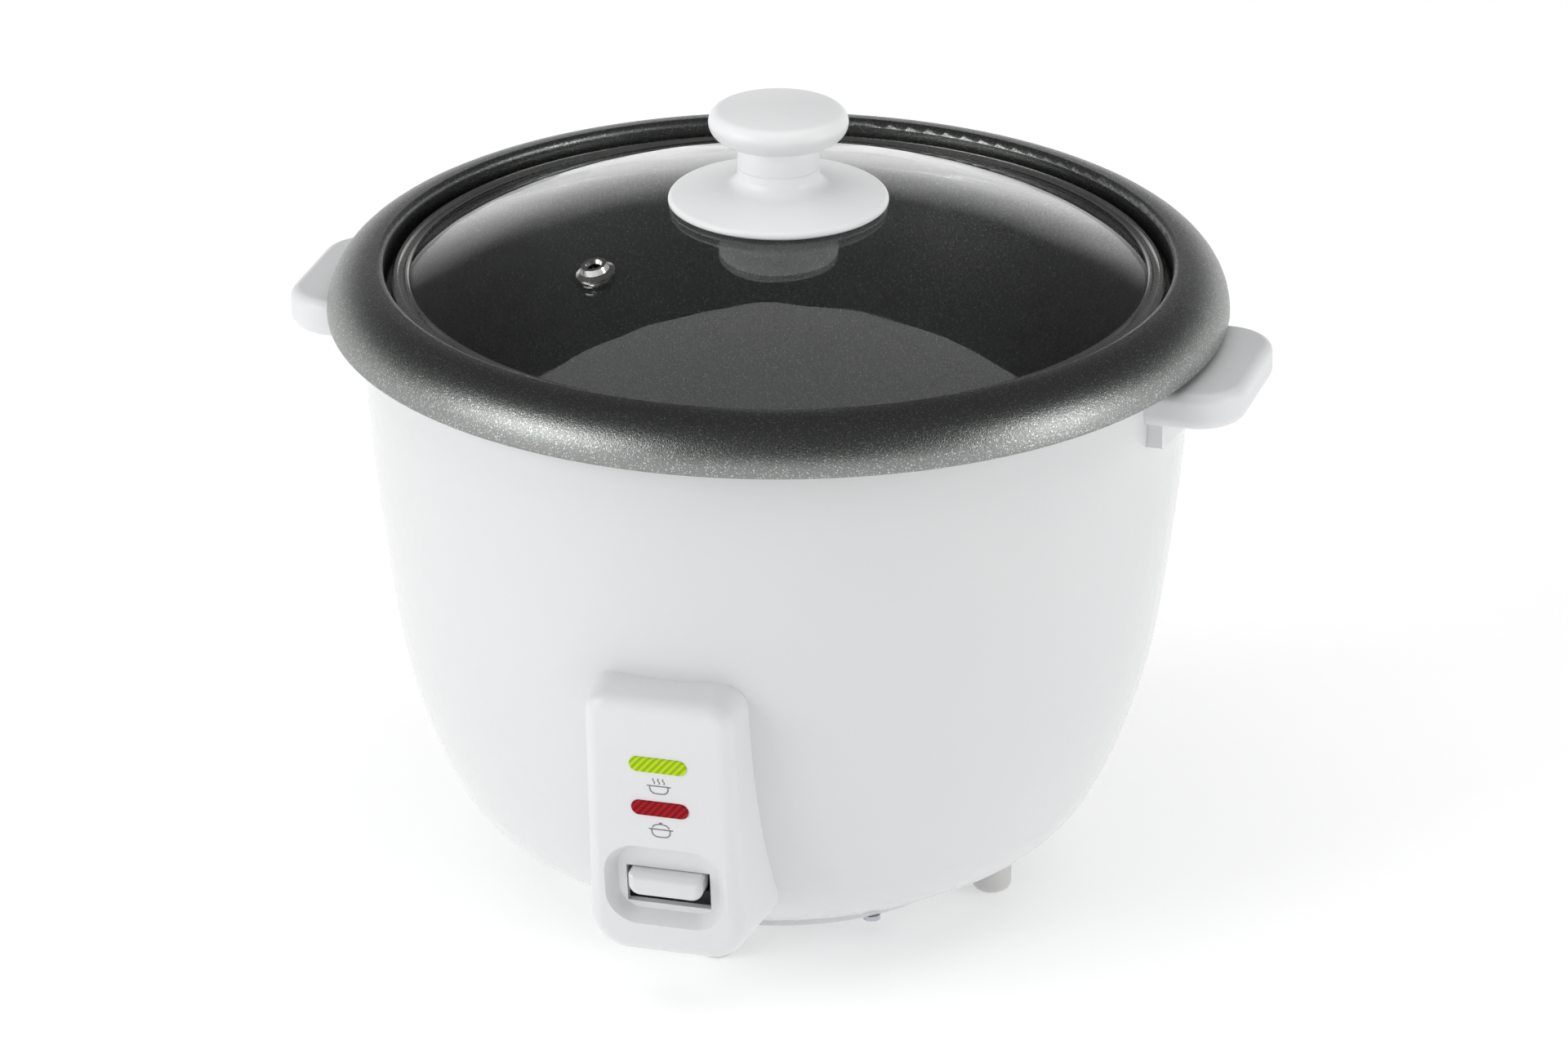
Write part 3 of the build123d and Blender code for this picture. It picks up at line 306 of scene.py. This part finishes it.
KNOB_FINISH = plain_finish(
    "knob_plastic", light=(0.93, 0.935, 0.94), dark=(0.90, 0.907, 0.915),
    patch=40.0, rough=(0.3, 0.4), grain=1800.0, relief=0.02 * MM,
)
PRINT = plain_finish(
    "grey_print", light=(0.17, 0.17, 0.17), dark=(0.22, 0.22, 0.22),
    patch=900.0, rough=(0.45, 0.55), grain=3000.0, relief=0.01 * MM,
)
SLOT_OF = {part["node"]: part["material_slot"] for part in frame["record"]["subparts"]}

for node_name, node in NODES.items():
    finish = KNOB_FINISH if node_name in KNOB_NODES else MATERIALS[SLOT_OF[node_name]]
    if not node.data.materials:
        node.data.materials.append(finish)
    for index in range(len(node.data.materials)):
        node.data.materials[index] = finish


# ---- pieces ----------------------------------------------------------------------------
def make_piece(name, mesh, slot_name, body, *replaced, finish=None):
    """Put a mesh in the scene, riding on a body, with its slot's finish or another."""
    piece = bpy.data.objects.new(name, mesh)
    bpy.context.scene.collection.objects.link(piece)
    mesh.materials.append(finish or MATERIALS[slot_name])
    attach(piece, body)
    if replaced:
        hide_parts(*replaced)
    return piece


def middle_of(node):
    """The middle of a CAD node's box."""
    low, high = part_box(node)
    return (low + high) / 2


# ---- printed marks ---------------------------------------------------------------------
# Each is drawn flat, with the pot's bottom at height 0, and placed by the pot's brim.
MARK_LINE = 0.42 * MM
MARK_PROUD = 0.04 * MM
LENS_TO_BRIM = 7.232 * MM  # down the panel's face
LENS_TO_FACE = 1.584 * MM  # out from the lens's middle

POT_WIDTH = 5.6 * MM
POT_HEIGHT = 2.6 * MM
POT_CORNER = 0.32 * POT_WIDTH
BRIM_HALF = 3.7 * MM

STEAM_LINE = 0.85 * MARK_LINE
STEAM_PITCH = 1.5 * MM
STEAM_LOW = 3.3 * MM
STEAM_HIGH = 5.2 * MM
STEAM_SWING = 0.28 * MM

LID_HALF = 2.5 * MM
LID_LOW = 3.1 * MM
LID_RISE = 1.3 * MM
KNOB_LINE = 1.4 * MARK_LINE
KNOB_HALF = 0.5 * MM
KNOB_HEIGHT = 4.75 * MM

CORNER_STEPS = 6
STEAM_STEPS = 8
LID_STEPS = 10


def ribbon(verts, faces, points, width):
    """Add a flat ribbon along 2-D points to a vertex and face list."""
    first, last = len(verts), len(points) - 1
    for i, point in enumerate(points):
        before, after = points[max(i - 1, 0)], points[min(i + 1, last)]
        along = (Vector(after) - Vector(before)).normalized()
        side = Vector((-along.y, along.x)) * width / 2
        verts.append(Vector(point) + side)
        verts.append(Vector(point) - side)
    for i in range(last):
        a = first + 2 * i
        faces.append((a, a + 1, a + 3, a + 2))


def pot_outline():
    """The pot: open at the top, round at its two lower corners."""
    points = [(-POT_WIDTH / 2, POT_HEIGHT)]
    for sign, start in ((-1, math.pi), (1, 1.5 * math.pi)):
        centre = Vector((sign * (POT_WIDTH / 2 - POT_CORNER), POT_CORNER))
        for step in range(CORNER_STEPS + 1):
            turn = start + step * math.pi / 2 / CORNER_STEPS
            rim = Vector((math.cos(turn), math.sin(turn)))
            points.append(tuple(centre + POT_CORNER * rim))
    points.append((POT_WIDTH / 2, POT_HEIGHT))
    return points


def steam(x):
    """A small upright S-shaped wisp of steam."""
    return [
        (
            x + STEAM_SWING * math.sin(2 * math.pi * i / STEAM_STEPS),
            STEAM_LOW + (STEAM_HIGH - STEAM_LOW) * i / STEAM_STEPS,
        )
        for i in range(STEAM_STEPS + 1)
    ]


def lid_arch():
    """A low arch over the pot."""
    turns = [math.pi * i / LID_STEPS for i in range(LID_STEPS + 1)]
    return [(LID_HALF * math.cos(t), LID_LOW + LID_RISE * math.sin(t)) for t in turns]


def pictogram(name, lens, steaming):
    """Print a small pot under a lens, with steam over it or with a lid on it."""
    verts, faces = [], []
    ribbon(verts, faces, pot_outline(), MARK_LINE)
    ribbon(verts, faces, [(-BRIM_HALF, POT_HEIGHT), (BRIM_HALF, POT_HEIGHT)], MARK_LINE)
    if steaming:
        for x in (-STEAM_PITCH, 0.0, STEAM_PITCH):
            ribbon(verts, faces, steam(x), STEAM_LINE)
    else:
        ribbon(verts, faces, lid_arch(), MARK_LINE)
        knob = [(-KNOB_HALF, KNOB_HEIGHT), (KNOB_HALF, KNOB_HEIGHT)]
        ribbon(verts, faces, knob, KNOB_LINE)
    up = (middle_of("green_lens") - middle_of("red_lens")).normalized()
    outward = Vector((0, -up.z, up.y))
    brim = middle_of(lens) - up * LENS_TO_BRIM + outward * (LENS_TO_FACE + MARK_PROUD)
    placed = [brim + Vector((v.x, 0, 0)) + up * (v.y - POT_HEIGHT) for v in verts]
    mesh = bpy.data.meshes.new(name)
    mesh.from_pydata(placed, [], faces)
    make_piece(name, mesh, "black_plastic", "base", finish=PRINT)


pictogram("mark_cook", "green_lens", steaming=True)
pictogram("mark_warm", "red_lens", steaming=False)

# ---- springs ---------------------------------------------------------------------------
STEPS_PER_TURN = 40
WIRE_SIDES = 12


def coil_mesh(name, low, high, wire, turns):
    """A closed round wire wound about the middle of a box, from its bottom to its top."""
    middle = (low + high) / 2
    coil_radius = (high.x - low.x) / 2 - wire / 2
    rise = high.z - low.z - wire
    steps = int(STEPS_PER_TURN * turns)
    verts, faces = [], []
    for step in range(steps + 1):
        turn = 2 * math.pi * turns * step / steps
        centre_z = low.z + wire / 2 + rise * step / steps
        here, there = step * WIRE_SIDES, (step + 1) * WIRE_SIDES
        for side in range(WIRE_SIDES):
            tilt = 2 * math.pi * side / WIRE_SIDES
            reach = coil_radius + wire / 2 * math.cos(tilt)
            verts.append((
                middle.x + reach * math.cos(turn), middle.y + reach * math.sin(turn),
                centre_z + wire / 2 * math.sin(tilt),
            ))
            if step < steps:
                after = (side + 1) % WIRE_SIDES
                faces.append((here + side, there + side, there + after, here + after))
    faces.append(tuple(range(WIRE_SIDES)))
    faces.append(tuple(reversed(range(steps * WIRE_SIDES, (steps + 1) * WIRE_SIDES))))
    mesh = bpy.data.meshes.new(name)
    mesh.from_pydata(verts, [], faces)
    mesh.shade_smooth()
    return mesh


def spring(node, wire, turns):
    """A wound spring in a CAD spring's place, riding on the base."""
    name = node + "_coil"
    low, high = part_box(node)
    mesh = coil_mesh(name, low, high, wire, turns)
    piece = make_piece(name, mesh, "spring_steel", "base", node)
    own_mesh(piece)


spring("magnet_spring", wire=0.9 * MM, turns=3.0)
spring("sensor_spring", wire=1.2 * MM, turns=2.5)

# ---- stage -----------------------------------------------------------------------------
FLOOR_HALF = 6.0
FLOOR_GLOW = 0.3

LIGHT_TARGET = Vector((0.0, 0.0, 0.12))
OVERHEAD_SPREAD = math.radians(80.0)

# The surround is bright up to the band's start and dim above its end.
BAND_START = math.radians(3.0)
BAND_END = math.radians(19.0)

# The camera stands at an angle and distance from TARGET, and is turned to AIM.
AZIMUTH = math.radians(16.1)
ELEVATION = math.radians(21.7)
DISTANCE = 3.0
TARGET = Vector((0, 0, 0.184))
AIM = Vector((0.0016, 0.0004, 0.1128))
LENS_MM = 230.2
SENSOR_MM = 36.0
CLIP_END = 50.0


def add_object(name, data):
    """A new object in the scene for a mesh, light or camera."""
    added = bpy.data.objects.new(name, data)
    bpy.context.scene.collection.objects.link(added)
    return added


def stage_floor():
    """A large pale floor, lit a little from within so that it stays near white."""
    half = FLOOR_HALF
    mesh = bpy.data.meshes.new("floor")
    mesh.from_pydata(
        [(-half, -half, 0), (half, -half, 0), (half, half, 0), (-half, half, 0)],
        [], [(0, 1, 2, 3)],
    )
    mat, tree, shader, coords = new_material("floor_white")
    tint = spread(tree, noise(tree, coords, 0.6), 0.0, 1.0)
    tree.links.new(
        two_colours(tree, tint, (0.93, 0.93, 0.93), (0.90, 0.90, 0.90)),
        shader.inputs["Base Color"],
    )
    shader.inputs["Roughness"].default_value = 0.9
    shader.inputs["Emission Color"].default_value = (1.0, 1.0, 1.0, 1.0)
    shader.inputs["Emission Strength"].default_value = FLOOR_GLOW
    mesh.materials.append(mat)
    add_object("floor", mesh)


def softbox(name, place, width, height, power):
    """A softbox at a place, facing the cooker."""
    data = bpy.data.lights.new(name, "AREA")
    data.shape = "RECTANGLE"
    data.size = width
    data.size_y = height
    data.energy = power
    light = add_object(name, data)
    light.location = place
    light.rotation_euler = (LIGHT_TARGET - Vector(place)).to_track_quat("-Z", "Y").to_euler()


def overhead(strength):
    """Very soft even light from above, as from a large diffuser."""
    data = bpy.data.lights.new("overhead", "SUN")
    data.energy = strength
    data.angle = OVERHEAD_SPREAD
    add_object("overhead", data).visible_glossy = False


def sky(zenith, horizon):
    """A studio surround: dim overhead, and bright in a soft band around the horizon."""
    world = bpy.data.worlds.new("surround")
    world.use_nodes = True
    tree = world.node_tree
    background = tree.nodes["Background"]
    background.inputs["Color"].default_value = (1.0, 1.0, 1.0, 1.0)
    coords = tree.nodes.new("ShaderNodeTexCoord")
    parts = tree.nodes.new("ShaderNodeSeparateXYZ")
    tree.links.new(coords.outputs["Generated"], parts.inputs["Vector"])
    strength = spread(
        tree, parts.outputs["Z"], horizon, zenith,
        start=math.sin(BAND_START), end=math.sin(BAND_END),
    )
    tree.links.new(strength, background.inputs["Strength"])
    bpy.context.scene.world = world


def camera():
    """The camera, turned to look at AIM."""
    data = bpy.data.cameras.new("camera")
    data.lens = LENS_MM
    data.sensor_width = SENSOR_MM
    data.clip_end = CLIP_END
    cam = add_object("camera", data)
    level = math.cos(ELEVATION)
    cam.location = TARGET + DISTANCE * Vector(
        (math.sin(AZIMUTH) * level, -math.cos(AZIMUTH) * level, math.sin(ELEVATION))
    )
    cam.rotation_euler = (AIM - cam.location).to_track_quat("-Z", "Y").to_euler()
    bpy.context.scene.camera = cam


stage_floor()
sky(zenith=0.09, horizon=1.0)
softbox("key_left", place=(-1.5, -1.45, 0.95), width=1.5, height=1.1, power=20.0)
softbox("side_right", place=(1.9, -0.1, 0.6), width=0.5, height=1.2, power=9.0)
overhead(1.65)
camera()
bpy.context.scene.view_settings.view_transform = "Standard"
